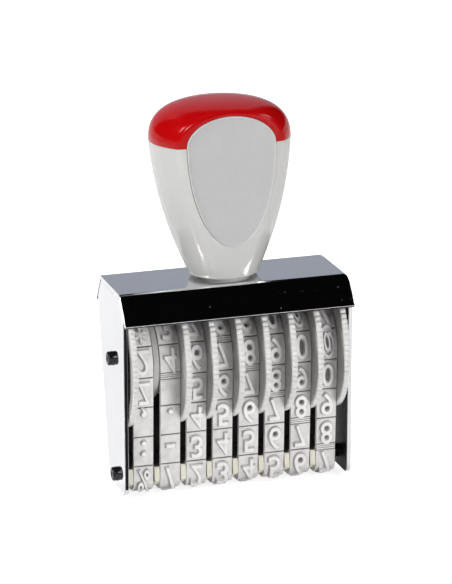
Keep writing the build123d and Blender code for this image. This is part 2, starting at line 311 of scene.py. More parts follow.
# the numbers of a finish: two colours, cloud scale, roughness from and to, grain scale, bump
finish = {
    "plate": makeFrameMetal("brightPlate", (0.03, 0.06)),
    # painted shade: near black for the left plate's front edge
    "frontEdgePaintedShade": makeSteel("frontEdgeShadeSteel", (0.02, 0.02, 0.022, 1), (0.35, 0.6)),
    # painted shade: matt grey on the side plates' rounded edges, darker than the bright sheet, so the
    # edges read as outlines
    "sheetRimPaintedShade": makeFinish("sheetRimPaintedShade", grey(0.50), grey(0.42), 300.0, (0.6, 0.7), 900.0, 0.1,
                           Specular_IOR_Level=0.1),
    "sheetTop": makeFrameMetal("sheetTop", (0.08, 0.12)),
    # painted light: pale matt for the hood's joint, so its line does not read dark
    "jointPaintedLight": makeFinish("jointPaintedLight", grey(0.82), grey(0.80), 300.0, (0.5, 0.6), 900.0, 0.1),
    # painted shade: near black for the sheet's inside faces, where the frame's interior is in shadow
    "sheetInsidePaintedShade": makeSteel("sheetInsidePaintedShade", (0.05, 0.05, 0.055, 1), (0.3, 0.5)),
    "darkSteel": makeSteel("darkSteel", (0.06, 0.06, 0.065, 1), (0.18, 0.35)),
    "brass": makeSteel("insertBrass", (0.62, 0.42, 0.17, 1), (0.2, 0.35)),
    "studSteel": makeSteel("studSteel", (0.55, 0.55, 0.57, 1), (0.2, 0.35)),
    "handle": makeFinish("handlePlastic", (0.56, 0.557, 0.541, 1), (0.53, 0.527, 0.511, 1),
                         40.0, (0.10, 0.16), 260.0, 0.10),
    "cap": makeFinish("capPlastic", (0.45, 0.002, 0.003, 1), (0.41, 0.0015, 0.0025, 1),
                      40.0, (0.12, 0.19), 260.0, 0.10, Specular_IOR_Level=0.22),
    "labelFace": makeFinish("labelFace", grey(0.49), grey(0.475), 500.0, (0.5, 0.6), 2500.0, 0.15),
    # painted light: the label's rim lighter than its face, as if catching the light
    "labelRimPaintedLight": makeFinish("labelRimPaintedLight", grey(0.60), grey(0.57), 300.0, (0.3, 0.4), 1500.0, 0.1),
    # painted shade: the wheels' faces and the spacer darker than the wheel rims of the same plastic
    "wheel": makeFinish("wheelPlasticPaintedShade", grey(0.47, 0.01), grey(0.39, 0.02),
                        260.0, (0.3, 0.45), 1200.0, 0.2),
    "wheelRim": makeFinish("wheelRim", grey(0.72, 0.01), grey(0.63, 0.02),
                           260.0, (0.3, 0.45), 1200.0, 0.2),
    "comb": makeFinish("combPlastic", (0.82, 0.80, 0.68, 1), (0.76, 0.74, 0.62, 1),
                       200.0, (0.3, 0.42), 900.0, 0.2),
    # painted shade: near black for the comb's upper faces, which lie in shadow inside the frame
    "combTopPaintedShade": makeFinish("combTopPaintedShade", (0.045, 0.042, 0.036, 1), (0.02, 0.018, 0.016, 1),
                            300.0, (0.5, 0.7), 900.0, 0.3),
    "band": makeRubber("bandRubber", (0.92, 0.90, 0.90, 1), (0.84, 0.825, 0.82, 1)),
    # partly ink grime, partly painted shade: the cells' ground darker than the characters' tops
    "ground": makeRubber("bandGroundGrimeAndShade", (0.82, 0.80, 0.795, 1), (0.66, 0.645, 0.64, 1)),
    # painted shade: the characters' sloping sides darker than their tops
    "flank": makeRubber("bandFlankPaintedShade", (0.68, 0.66, 0.655, 1), (0.54, 0.53, 0.52, 1)),
    # painted shade: dark for the slabs in closed holes, where the deep holes are in shadow
    "counterPaintedShade": makeRubber("bandCounterPaintedShade", (0.20, 0.195, 0.19, 1), (0.12, 0.118, 0.115, 1),
                          roughness=(0.6, 0.8)),
    # painted shade: near black for the band's inside, dark for the floor of the cuts between cells
    "liningPaintedShade": makeRubber("bandLiningPaintedShade", (0.035, 0.03, 0.03, 1), (0.02, 0.018, 0.018, 1),
                         300.0, (0.6, 0.8)),
    "groovePaintedShade": makeRubber("bandGroovePaintedShade", (0.16, 0.145, 0.13, 1), (0.10, 0.09, 0.085, 1),
                         300.0, (0.6, 0.8)),
}
print("stage: finishes made,", len(finish))

# heights above the printing face that several pieces share
heights = {"axle": 41.6, "bridgePin": 5.6, "topPlate": 64.2}
# where a rounded corner's middle point lies, as a share of the corner's radius
cornerShare = 0.3

sheetPiece = {
    "edge": 0.16,                               # rounding of the cut edges
    "middle": (0, 0, 35),                       # the sheet's inside faces look toward it
    "sideX": 33.0, "turned": (0.25, 0.95),      # where the side plates' and the hood's ends begin
    "upward": 0.9, "plateFront": 0.97,          # how far the top and the plates' front edges are turned
    "lipEdge": 55.5,                            # height of the lips' lower edges
    "joint": (62.5, 63.4), "jointX": 34.5,      # where the hood rests on a side plate
}
sheetFinishes = ["plate", "frontEdgePaintedShade", "sheetInsidePaintedShade", "sheetRimPaintedShade", "sheetTop", "jointPaintedLight"]


def inJoint(edge):
    low, high = sheetPiece["joint"]
    return all(abs(v.co.x) > sheetPiece["jointX"] * mm and low < v.co.z / mm < high for v in edge.verts)


def sheetFinishAt(place, normal):
    low, high = sheetPiece["turned"]
    underLip = place.z < sheetPiece["lipEdge"]
    # the left plate's front edge is painted near black as shade
    if -normal.y > sheetPiece["plateFront"] and place.x < 0 and place.y < 0 and underLip:
        return "frontEdgePaintedShade"
    if normal.z > sheetPiece["upward"]:
        return "sheetTop"
    if abs(place.x) > sheetPiece["sideX"] and low < abs(normal.x) < high:
        if not underLip and normal.y < -low and normal.z > low:
            return "plate"
        # the hood's joint with the plate is closed and shows no rim: instead of the rim's painted shade
        # it takes a pale matt finish, painted light that keeps the joint from reading dark
        return "jointPaintedLight" if sheetPiece["joint"][0] < place.z < sheetPiece["joint"][1] else "sheetRimPaintedShade"
    # faces looking toward the middle take the near-black painted shade
    return "sheetInsidePaintedShade" if normal.dot(place - Vector(sheetPiece["middle"])) < 0 else "plate"


def buildFrameSheet():
    mesh = softEdgedCopy("frame", sheetPiece["edge"], leftHard=inJoint)
    for face in mesh.polygons:
        face.material_index = sheetFinishes.index(sheetFinishAt(face.center / mm, face.normal))
    addPiece("frameSheet", mesh, sheetFinishes, "frame", "frame")


rodPiece = {
    "radius": 2.1, "halfLength": 36.6, "round": 0.5, "roundSteps": 5, "segments": 64,
    "dimple": [(0.0, 0.35), (0.55, 0.3), (0.95, 0.05), (1.2, 0.0)],      # radius, depth
}


def turnedRings(profile, segments, height):
    # rings about a line along X: profile holds (radius, x)
    angles = [2 * pi * i / segments for i in range(segments)]
    rings = []
    for radius, x in profile:
        around = angles if radius > 0 else [0.0]
        rings.append([Vector((x, radius * cos(a), height + radius * sin(a))) * mm for a in around])
    return rings


def buildRod(name, node, height):
    radius, half, soft = rodPiece["radius"], rodPiece["halfLength"], rodPiece["round"]
    profile = [(reach, half - depth) for reach, depth in rodPiece["dimple"]]
    for i in range(rodPiece["roundSteps"] + 1):
        turn = i / rodPiece["roundSteps"] * pi / 2
        profile.append((radius - soft + soft * sin(turn), half - soft + soft * cos(turn)))
    profile += [(r, -x) for r, x in reversed(profile)]
    mesh = meshFromRings(name, turnedRings(profile, rodPiece["segments"], height))
    addPiece(name, smoothShade(mesh), ["darkSteel"], "frame", node)


combPiece = {"edge": 0.15, "upward": 0.7}


def buildComb():
    # its upper faces, deep in the frame, carry painted shade: a near-black finish standing in for the
    # shadow there
    mesh = softEdgedCopy("comb_bridge", combPiece["edge"])
    for face in mesh.polygons:
        face.material_index = 1 if face.normal.z > combPiece["upward"] else 0
    addPiece("bridgeComb", mesh, ["comb", "combTopPaintedShade"], "frame", "comb_bridge")


spacerPiece = {"centre": -24.54, "half": 0.85, "radius": 12.9, "bore": 2.15, "round": 0.2,
               "segments": 160}


def buildSpacer():
    half, radius, bore = spacerPiece["half"], spacerPiece["radius"], spacerPiece["bore"]
    soft = spacerPiece["round"]
    near = cornerShare * soft
    profile = [(bore, -half), (radius - soft, -half), (radius - near, near - half), (radius, soft - half),
               (radius, half - soft), (radius - near, half - near), (radius - soft, half), (bore, half)]
    rings = turnedRings(profile, spacerPiece["segments"], heights["axle"])
    mesh = meshFromRings("spacerDisc", rings, joined=True)
    addPiece("spacerDisc", smoothShade(mesh), ["wheel"], "frame", "spacer_disc",
             spacerPiece["centre"])


buildFrameSheet()
buildRod("wheelAxleRod", "wheel_axle", heights["axle"])
buildRod("bridgePinRod", "bridge_pin", heights["bridgePin"])
buildComb()
buildSpacer()
print("stage: sheet, rods, comb and spacer made")


wheelPiece = {
    "centres": [-28.65, -20.43, -12.37, -4.31, 3.75, 11.81, 19.87, 27.93],
    "rim": 21.0, "rimInner": 19.7, "flange": 1.65, "round": 0.18,
    "toothCount": 78, "toothDepth": 0.5, "toothRoot": 0.5, "toothShape": 0.8, "perTooth": 8,
    "drum": 11.9, "drumHalf": 3.15, "drumRound": 0.15, "fillet": 0.2, "bore": 2.15,
    # the shallow dish in the flange's open side, from its rim in to the hub: radius, depth
    "dish": [(17.65, 0.0), (17.35, 0.12), (17.0, 0.5), (5.0, 0.5), (4.6, 0.1), (4.45, 0.0)],
    "smoothAngle": 38,
}


def wheelRings(side):
    piece = wheelPiece
    inner, outer = piece["drumHalf"], piece["drumHalf"] + piece["flange"]
    soft, rim, drum = piece["round"], piece["rim"], piece["drum"]
    near, root = cornerShare * soft, rim - piece["toothDepth"] - piece["toothRoot"]
    # (radius, x, how much of the tooth is cut there)
    profile = [
        (piece["bore"], -inner, 0), (drum - piece["drumRound"], -inner, 0),
        (drum, -inner + piece["drumRound"], 0),
        (drum, inner - piece["fillet"], 0), (drum + piece["fillet"], inner, 0), (root, inner, 0),
        (rim - soft, inner, 1), (rim - near, inner + near, 1), (rim, inner + soft, 1),
        (rim, outer - soft, 1), (rim - near, outer - near, 1), (rim - soft, outer, 1), (root, outer, 0),
    ]
    profile += [(radius, outer - depth, 0) for radius, depth in piece["dish"]]
    profile.append((piece["bore"], outer, 0))
    segments = piece["toothCount"] * piece["perTooth"]
    rings = []
    for radius, x, cut in profile:
        ring = []
        for i in range(segments):
            angle = 2 * pi * i / segments
            swell = abs(cos(piece["toothCount"] * angle / 2)) ** piece["toothShape"]
            reach = radius - cut * piece["toothDepth"] * (1 - swell)
            y, z = reach * cos(angle), heights["axle"] + reach * sin(angle)
            ring.append(Vector((side * x, y, z)) * mm)
        rings.append(ring)
    return rings


def buildWheels():
    # the first wheel has its flange on the left, the others on the right
    left = meshFromRings("thumbWheelLeft", wheelRings(-1), joined=True)
    right = meshFromRings("thumbWheelRight", wheelRings(1), joined=True)
    for mesh in (left, right):
        smoothShade(mesh, wheelPiece["smoothAngle"])
        for face in mesh.polygons:
            # faces inside the rim take the darker painted-shade finish
            far = hypot(face.center.y, face.center.z - heights["axle"] * mm)
            face.material_index = 1 if far > wheelPiece["rimInner"] * mm else 0
    for number, centre in enumerate(wheelPiece["centres"], start=1):
        node = "wheel_" + str(number)
        addPiece("thumbWheel" + str(number), left if number == 1 else right, ["wheel", "wheelRim"],
                 node, node, centre)


buildWheels()
print("stage: thumb wheels made")


bandPiece = {
    "width": 6.2, "base": 0.85, "cells": 14, "smoothAngle": 30,
    # the line it runs on: level foot, two corners, two straight runs and the arc over the drum
    "foot": 1.95, "cornerRadius": 3.1, "cornerY": 3.45, "cornerZ": 5.05, "topRadius": 12.15,
    # the ground patch of a cell, and the cut between two cells, which nicks the band's edges
    "ground": 0.16, "groundHalf": 2.95, "gap": 0.38, "patchWall": 0.1, "stepsPerCell": 14,
    "nick": 0.3, "nickReach": 0.45,
    # three ridges where the band is spliced
    "spliceWidth": 1.9, "splicePitch": 0.62, "ridgeHalf": 0.24, "ridgeWall": 0.05, "ridgeSteps": 2,
}
# a raised patch's foot is let in, and its walls have a shoulder: how high, and how far in, as shares
patchForm = {"sink": 0.05, "shoulder": 0.75, "sideLean": 0.3, "endLean": 0.7, "margin": 0.1}
signPiece = {
    "size": 10.15, "middle": 3.58, "width": 4.2, "relief": 1.1, "sink": 0.12,
    "flank": 0.36, "flankSteps": 1, "bolder": 0.06, "curveSteps": 5, "body": 0.2, "merge": 1e-4,
    "tall": 6.0, "tallShrink": 0.99,            # full-height characters are drawn in a little
    "counterShadeRise": 0.03,                        # the painted-shade floor of a closed hole, above the ground
    # cuts that let a character bend round the wheel
    "bend": 0.7, "bendCuts": 13, "cutMerge": 1e-5,
    "touching": 0.01,
}
bandFinishes = ["band", "groovePaintedShade", "liningPaintedShade", "ground", "flank", "counterPaintedShade"]
bandFace = {key: i for i, key in enumerate(bandFinishes)}

# cells are listed upward from the first above the printing place, round to that place itself
# from the third band on all carry one ring, each a cell further on than its neighbour
ringOrder = ["1", "2", "3", "4", "5", "6", "7", "8", "9", "0", "@", "/", "+", "="]
ownBands = {
    1: {"signs": ["%", ":", ",", "Z", "2", "*", "#", "&", "$", "!", "?", "(", ")", "+"], "splice": 5},
    2: {"signs": ["/", "-", ".", " ", "4", "3", "2", "1", "0", "9", "8", "7", "6", "5"], "splice": 9},
}


class BandLine:
    # the closed line along the outside of a plain band
    # it runs from the middle of the printing place round by the rear
    def __init__(self, layer):
        piece = bandPiece
        self.foot = piece["foot"] - layer
        self.corner = piece["cornerRadius"] + layer
        self.top = piece["topRadius"] + layer
        runY, runZ = piece["cornerY"], piece["cornerZ"] - heights["axle"]
        far = hypot(runY, runZ)
        drop = piece["topRadius"] - piece["cornerRadius"]
        self.tilt = atan2(runZ, runY) + acos(drop / far)
        self.run = sqrt(far ** 2 - drop ** 2)
        self.cornerLength = self.corner * (pi / 2 + self.tilt)
        self.topLength = self.top * (pi - 2 * self.tilt)
        self.length = 2 * (piece["cornerY"] + self.cornerLength + self.run) + self.topLength

    def place(self, distance, height=0.0):
        piece = bandPiece
        distance = distance % self.length
        half = self.length / 2
        side = 1 if distance <= half else -1
        left = distance if side > 0 else self.length - distance
        if left <= piece["cornerY"]:
            y, z, out = left, self.foot, -pi / 2
        elif left <= piece["cornerY"] + self.cornerLength:
            out = -pi / 2 + (left - piece["cornerY"]) / self.corner
            y = piece["cornerY"] + self.corner * cos(out)
            z = piece["cornerZ"] + self.corner * sin(out)
        elif left <= piece["cornerY"] + self.cornerLength + self.run:
            out = self.tilt
            along = left - piece["cornerY"] - self.cornerLength
            y = piece["cornerY"] + self.corner * cos(out) - along * sin(out)
            z = piece["cornerZ"] + self.corner * sin(out) + along * cos(out)
        else:
            out = pi / 2 - (half - left) / self.top
            y, z = self.top * cos(out), heights["axle"] + self.top * sin(out)
        return side * (y + height * cos(out)), z + height * sin(out)


bandLine = BandLine(bandPiece["base"])
cellPitch = bandLine.length / bandPiece["cells"]


def onBand(x, distance, height):
    y, z = bandLine.place(distance, height)
    return Vector((x, y, z)) * mm


def signShape(sign, body, flank):
    text = bpy.data.curves.new("sign", "FONT")
    text.body = sign
    text.size = signPiece["size"]
    text.align_x = "CENTER"
    text.extrude = body
    text.bevel_depth = flank
    text.bevel_resolution = signPiece["flankSteps"]
    text.offset = signPiece["bolder"]
    text.resolution_u = signPiece["curveSteps"]
    build = bmesh.new()
    build.from_mesh(takeMesh(putOut("sign", text)))
    bmesh.ops.remove_doubles(build, verts=build.verts, dist=signPiece["merge"])
    return build


def isInside(point, outline):
    crossings = 0
    for (ax, ay), (bx, by) in zip(outline, outline[1:] + outline[:1]):
        if (ay > point[1]) != (by > point[1]):
            crossings += point[0] < ax + (point[1] - ay) / (by - ay) * (bx - ax)
    return crossings % 2 == 1


def counterOutlines(sign):
    # the closed holes of a character, such as the two of an 8
    build = signShape(sign, 0.0, 0.0)
    build.edges.index_update()
    rims = {e.index: e for e in build.edges if len(e.link_faces) == 1}
    outlines = []
    while rims:
        edge = rims.pop(min(rims))
        first, at = edge.verts
        outline = [first, at]
        while at != first:
            edge = next((e for e in at.link_edges if e.index in rims), None)
            if edge is None:
                break
            del rims[edge.index]
            at = edge.other_vert(at)
            if at != first:
                outline.append(at)
        outlines.append([(v.co.x, v.co.y) for v in outline])
    build.free()
    outlines = [outline for outline in outlines if len(outline) > 2]
    return [a for a in outlines if sum(isInside(a[0], b) for b in outlines if b is not a) % 2 == 1]


def addCounterShade(build, flat):
    # a closed dark slab in the hole of a character: painted shade for the shadow in the deep hole
    ground = bandPiece["ground"]
    top, bottom = ([build.verts.new((x, y, ground + level)) for x, y in flat]
                   for level in (signPiece["counterShadeRise"], -signPiece["sink"]))
    ends = [build.faces.new(top), build.faces.new(list(reversed(bottom)))]
    for i in range(len(flat)):
        j = (i + 1) % len(flat)
        build.faces.new((top[j], top[i], bottom[i], bottom[j])).material_index = bandFace["counterPaintedShade"]
    for face in bmesh.ops.triangulate(build, faces=ends)["faces"]:
        face.material_index = bandFace["counterPaintedShade"]


glyphSheets = {}


def glyphSheet(sign):
    # one raised character laid out flat: points (across, along, height) and faces
    if sign in glyphSheets:
        return glyphSheets[sign]
    foot, relief = bandPiece["ground"] - signPiece["sink"], signPiece["relief"]
    build = signShape(sign, signPiece["body"], signPiece["flank"])
    across = [v.co.x for v in build.verts]
    along = [v.co.y for v in build.verts]
    middleX, middleY = (min(across) + max(across)) / 2, signPiece["middle"]
    tall = signPiece["tallShrink"] if max(along) - min(along) > signPiece["tall"] else 1.0
    wide = min(1.0, signPiece["width"] / (max(across) - min(across)))
    for v in build.verts:
        lift = min(max(0.0, v.co.z - signPiece["body"]) / signPiece["flank"], 1.0)
        v.co = ((v.co.x - middleX) * wide, (v.co.y - middleY) * tall, foot + lift * (relief - foot))
    for face in build.faces:
        # tops keep the band's colour; the sloping sides take the darker flank finish, painted shade
        isTop = min(v.co.z for v in face.verts) >= relief - signPiece["touching"]
        face.material_index = bandFace["band" if isTop else "flank"]
    for outline in counterOutlines(sign):
        addCounterShade(build, [((x - middleX) * wide, (y - middleY) * tall) for x, y in outline])
    for i in range(signPiece["bendCuts"]):
        level = (i - signPiece["bendCuts"] // 2) * signPiece["bend"]
        bmesh.ops.bisect_plane(build, geom=build.verts[:] + build.edges[:] + build.faces[:],
                               plane_co=(0, level, 0), plane_no=(0, 1, 0),
                               dist=signPiece["cutMerge"])
    build.verts.index_update()
    glyphSheets[sign] = ([tuple(v.co) for v in build.verts],
                         [([v.index for v in f.verts], f.material_index) for f in build.faces])
    build.free()
    return glyphSheets[sign]


def addGlyph(build, sign, centre):
    if not sign.strip():
        return
    points, faces = glyphSheet(sign)
    made = [build.verts.new(onBand(x, centre + along, height)) for x, along, height in points]
    for corners, materialIndex in faces:
        try:
            build.faces.new([made[i] for i in reversed(corners)]).material_index = materialIndex
        except ValueError:                    # the same face twice
            pass


def addPatch(build, start, end, wall, steps):
    # a raised flat patch across the band, its four walls leaning in
    half, height = bandPiece["groundHalf"], bandPiece["ground"]
    sink, shoulder, margin = patchForm["sink"], patchForm["shoulder"], patchForm["margin"]
    side, lean = half + patchForm["sideLean"] * wall, wall * patchForm["endLean"]
    profile = [(-half - wall, -sink), (-side, height * shoulder), (margin - half, height),
               (half - margin, height), (side, height * shoulder), (half + wall, -sink)]
    flatStart, flatLength = start + wall + margin, end - start - 2 * wall - 2 * margin
    stations = [(start, 0.0), (start + lean, shoulder), (flatStart, 1.0)]
    stations += [(flatStart + flatLength * i / steps, 1.0) for i in range(1, steps)]
    stations += [(end - wall - margin, 1.0), (end - lean, shoulder), (end, 0.0)]
    rows = [[build.verts.new(onBand(x, distance, h * share if h > 0 else h)) for x, h in profile]
            for distance, share in stations]
    faces = [(lower[i], upper[i], upper[i + 1], lower[i + 1])
             for lower, upper in zip(rows, rows[1:]) for i in range(len(profile) - 1)]
    faces += [rows[0], list(reversed(rows[-1]))]
    faces.append([row[0] for row in rows] + [row[-1] for row in reversed(rows)])
    for corners in faces:
        build.faces.new(corners).material_index = bandFace["ground"]


def bandStations():
    # places round the band, and how far its edge is nicked there: deepest where two cells meet
    nick, reach, steps = bandPiece["nick"], bandPiece["nickReach"], bandPiece["stepsPerCell"]
    clear = cellPitch - 2 * reach
    stations = []
    for k in range(bandPiece["cells"]):
        start = (k - 0.5) * cellPitch
        stations += [(start, nick), (start + reach / 2, nick / 2)]
        stations += [(start + reach + clear * i / steps, 0.0) for i in range(steps + 1)]
        stations.append((start + cellPitch - reach / 2, nick / 2))
    return stations


def addBase(build):
    # the plain loop, with painted shade on it: a near-black lining inside, and a dark outside face that
    # shows in the cuts between the cells
    half = bandPiece["width"] / 2
    rows = []
    for distance, notch in bandStations():
        yOut, zOut = bandLine.place(distance)
        yIn, zIn = bandLine.place(distance, -bandPiece["base"])
        corners = [(-half, yIn, zIn), (half, yIn, zIn),
                   (half - notch, yOut, zOut), (notch - half, yOut, zOut)]
        rows.append([build.verts.new(Vector(corner) * mm) for corner in corners])
    sides = ["liningPaintedShade", "band", "groovePaintedShade", "band"]
    for lower, upper in zip(rows, rows[1:] + rows[:1]):
        for a, key in enumerate(sides):
            b = (a + 1) % len(sides)
            build.faces.new((lower[a], lower[b], upper[b], upper[a])).material_index = bandFace[key]


def buildBand(number, centre, signs, splice):
    # the splice lies at the far end of its cell
    build = bmesh.new()
    addBase(build)
    for k, sign in enumerate(signs):
        start = (k - 0.5) * cellPitch + bandPiece["gap"] / 2
        end = (k + 0.5) * cellPitch - bandPiece["gap"] / 2
        if k == splice:
            end -= bandPiece["spliceWidth"] / 2
        if (k - 1) % bandPiece["cells"] == splice:
            start += bandPiece["spliceWidth"] / 2
        addPatch(build, start, end, bandPiece["patchWall"], bandPiece["stepsPerCell"])
        addGlyph(build, sign, k * cellPitch)
    for step in (-1, 0, 1):
        at = (splice + 0.5) * cellPitch + step * bandPiece["splicePitch"]
        addPatch(build, at - bandPiece["ridgeHalf"], at + bandPiece["ridgeHalf"],
                 bandPiece["ridgeWall"], bandPiece["ridgeSteps"])
    bmesh.ops.recalc_face_normals(build, faces=build.faces)
    name = "numberBand" + str(number)
    mesh = smoothShade(finishedMesh(name, build), bandPiece["smoothAngle"])
    addPiece(name, mesh, bandFinishes, "frame", "band_" + str(number), centre)


def buildBands():
    cells = bandPiece["cells"]
    for number, centre in enumerate(wheelPiece["centres"], start=1):
        if number in ownBands:
            upward, splice = ownBands[number]["signs"], ownBands[number]["splice"]
        else:
            upward = [ringOrder[(number - 2 + i) % cells] for i in range(cells)]
            splice = (upward[::-1].index("7") - 1) % cells
        buildBand(number, centre, upward[::-1], splice)


buildBands()
print("stage: bands made,", len(glyphSheets), "characters")


handlePiece = {
    # the turned form, from its foot on the top plate up
    "stepHeight": 0.8, "stepRadius": 8.0, "footRadius": 10.65, "footRound": 0.9, "footSteps": 6,
    "footFlare": 0.47, "seamFlare": 0.08, "seam": 41.0, "seamRound": 0.2, "height": 53.9, "radius": 21.1,
    "fullness": 0.71, "segments": 256, "wallRings": 80, "domeRings": 60, "smoothAngle": 34,
    # the flat front, and how it blends into the turned form
    "flat": 14.2, "blend": 1.5, "facing": 0.05,
    # hollow, insert and stud hole
    "cavityFoot": 19.0, "cavityFootRadius": 7.5, "cavityRadius": 11.8,
    "stud": 3.05, "studHole": 15.0, "insert": 4.52, "insertLength": 12.0,
    # the cap: its spigot in the hollow, and the line where it parts from the body
    "spigot": 4.0, "spigotWall": 2.0, "spigotGap": 0.1, "parting": 42.1, "partingShare": 0.25,
    "domeStart": 0.3,
}
labelPiece = {
    "seat": 13.7, "thick": 0.9, "half": 13.41, "waist": 42.1, "below": 30.4, "above": 8.6, "gap": 0.15,
    "rim": 0.36, "rimLean": 0.1, "recess": 0.22, "backRound": 0.05, "segments": 192, "smoothAngle": 30,
    "frontEdge": [(0.0, 0.14), (-0.04, 0.04), (-0.14, 0.0)],      # growth, depth behind the front
    "innerRing": 3.0, "pocketReach": 12.0, "touching": 1e-6,
}
handleAngles = [2 * pi * i / handlePiece["segments"] for i in range(handlePiece["segments"])]


def curvePoint(points, share):
    # point on a cubic curve of four points
    rest = 1 - share
    weights = (rest ** 3, 3 * rest ** 2 * share, 3 * rest * share ** 2, share ** 3)
    return tuple(sum(w * p[i] for w, p in zip(weights, points)) for i in range(2))


def handlePoint(radius, angle, height):
    return Vector((radius * sin(angle), -radius * cos(angle), heights["topPlate"] + height)) * mm


def flattenedRing(radius, height):
    # a turned ring with the flat front worked into it
    blend = handlePiece["blend"]
    ring = []
    for angle in handleAngles:
        reach = radius
        if cos(angle) > handlePiece["facing"]:
            flat = handlePiece["flat"] / cos(angle)
            overlap = max(blend - abs(radius - flat), 0) / blend
            reach = min(radius, flat) - overlap * overlap * blend / 4
        ring.append(handlePoint(reach, angle, height))
    return ring


def plainRing(radius, height):
    return [handlePoint(radius, angle, height) for angle in (handleAngles if radius > 0 else [0.0])]


def labelOutline(grow, y):
    piece = labelPiece
    waist = heights["topPlate"] + piece["waist"]
    ring = []
    for i in range(piece["segments"]):
        angle = 2 * pi * i / piece["segments"]
        reach = piece["above"] if sin(angle) > 0 else piece["below"]
        ring.append(Vector(((piece["half"] + grow) * cos(angle), -y,
                            waist + (reach + grow) * sin(angle))) * mm)
    return ring


def labelMiddle(y):
    return [Vector((0, -y, heights["topPlate"] + labelPiece["waist"])) * mm]


def labelPocket():
    near, far = labelPiece["seat"], handlePiece["flat"] + labelPiece["pocketReach"]
    walls = [labelOutline(labelPiece["gap"], y) for y in (near, far)]
    return meshFromRings("pocket", [labelMiddle(near), *walls, labelMiddle(far)])


def bodyCurve():
    piece = handlePiece
    footTop = piece["stepHeight"] + piece["footRound"]
    rise = (piece["seam"] - footTop) / 3
    return [(piece["footRadius"], footTop),
            (piece["footRadius"] + piece["footFlare"] * rise, footTop + rise),
            (piece["radius"] - piece["seamFlare"] * rise, piece["seam"] - rise),
            (piece["radius"], piece["seam"])]


def domePoints():
    piece = handlePiece
    rise = piece["fullness"] * (piece["height"] - piece["seam"])
    curve = [(piece["radius"], piece["seam"]),
             (piece["radius"] + piece["seamFlare"] * rise, piece["seam"] + rise),
             (piece["radius"] * piece["fullness"], piece["height"]), (0.0, piece["height"])]
    return [curvePoint(curve, i / piece["domeRings"]) for i in range(1, piece["domeRings"])]


def partingRings(turn):
    # the rounded edge where body (turn -1) or cap (turn 1) meets the other, from the joint outward
    parting, soft = handlePiece["parting"], handlePiece["seamRound"]
    wide = min(domePoints(), key=lambda point: abs(point[1] - parting))[0]
    near = wide - handlePiece["partingShare"] * soft
    return [flattenedRing(wide - soft, parting),
            flattenedRing(near, parting + turn * cornerShare * soft),
            flattenedRing(wide, parting + turn * soft)]


def addHandlePart(name, rings, key, node):
    mesh = cutAway(meshFromRings(name, rings), labelPocket())
    mesh.name = name + "Form"
    addPiece(name, smoothShade(mesh, handlePiece["smoothAngle"]), [key], "frame", node)


def buildHandleBody():
    piece = handlePiece
    # up the stud hole's wall and down the insert's, out over the foot and up the outside
    stud, insert, step = piece["stud"], piece["insert"], piece["stepRadius"]
    deep, shallow = piece["studHole"], piece["insertLength"]
    rings = [plainRing(radius, height) for radius, height in (
        (0, deep), (stud, deep), (stud, shallow), (insert, shallow), (insert, 0.0), (step, 0.0),
        (step, piece["stepHeight"]))]
    soft, parting = piece["footRound"], piece["parting"]
    for i in range(piece["footSteps"]):
        turn = i / piece["footSteps"] * pi / 2
        rings.append(plainRing(piece["footRadius"] - soft + soft * sin(turn),
                               piece["stepHeight"] + soft - soft * cos(turn)))
    wall = [curvePoint(bodyCurve(), i / piece["wallRings"]) for i in range(piece["wallRings"])]
    wall = [point for point in wall if point[1] < piece["seam"] - piece["seamRound"]]
    wall += [point for point in domePoints() if point[1] < parting - piece["seamRound"]]
    rings += [flattenedRing(radius, height) for radius, height in wall]
    rings += reversed(partingRings(-1))
    rings += [plainRing(piece["cavityRadius"], parting),
              plainRing(piece["cavityFootRadius"], piece["cavityFoot"]),
              plainRing(0, piece["cavityFoot"])]
    addHandlePart("handleBody", rings, "handle", "handle_body")


def buildHandleCap():
    piece = handlePiece
    parting, gap = piece["parting"], piece["spigotGap"]
    slope = (piece["cavityRadius"] - piece["cavityFootRadius"]) / (piece["seam"] - piece["cavityFoot"])
    tip = piece["cavityRadius"] - slope * piece["spigot"] - gap
    tipHeight = piece["seam"] - piece["spigot"]
    bore = tip - piece["spigotWall"]
    rings = [plainRing(radius, height) for radius, height in (
        (0, parting), (bore, parting), (bore, tipHeight), (tip, tipHeight),
        (piece["cavityRadius"] - gap, parting))]
    rings += partingRings(1)
    rings += [flattenedRing(radius, height) for radius, height in domePoints()
              if height > parting + piece["domeStart"]]
    rings.append(plainRing(0, piece["height"]))
    addHandlePart("handleCap", rings, "cap", "handle_cap")


def buildLabel():
    piece = labelPiece
    back, front, rim = piece["seat"], piece["seat"] + piece["thick"], piece["rim"]
    floor = front - piece["recess"]
    soft = piece["backRound"]
    rings = [labelMiddle(back), labelOutline(-soft, back), labelOutline(0, back + soft)]
    rings += [labelOutline(grow, front - depth) for grow, depth in piece["frontEdge"]]
    rings += [labelOutline(piece["rimLean"] - rim, front), labelOutline(-rim, floor),
              labelOutline(-rim - piece["innerRing"], floor), labelMiddle(floor)]
    mesh = meshFromRings("labelPlate", rings)
    # the sunken face takes the face finish; the rest takes the lighter rim, painted light
    for face in mesh.polygons:
        depths = [abs(mesh.vertices[i].co.y + floor * mm) for i in face.vertices]
        face.material_index = 1 if max(depths) < piece["touching"] else 0
    addPiece("labelPlate", smoothShade(mesh, piece["smoothAngle"]), ["labelRimPaintedLight", "labelFace"],
             "frame", "front_label_plate")


buildHandleBody()
buildHandleCap()
buildLabel()
for node, key in (("threaded_insert", "brass"), ("handle_stud", "studSteel")):
    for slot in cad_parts[node].material_slots:
        slot.material = finish[key]
print("stage: handle made")


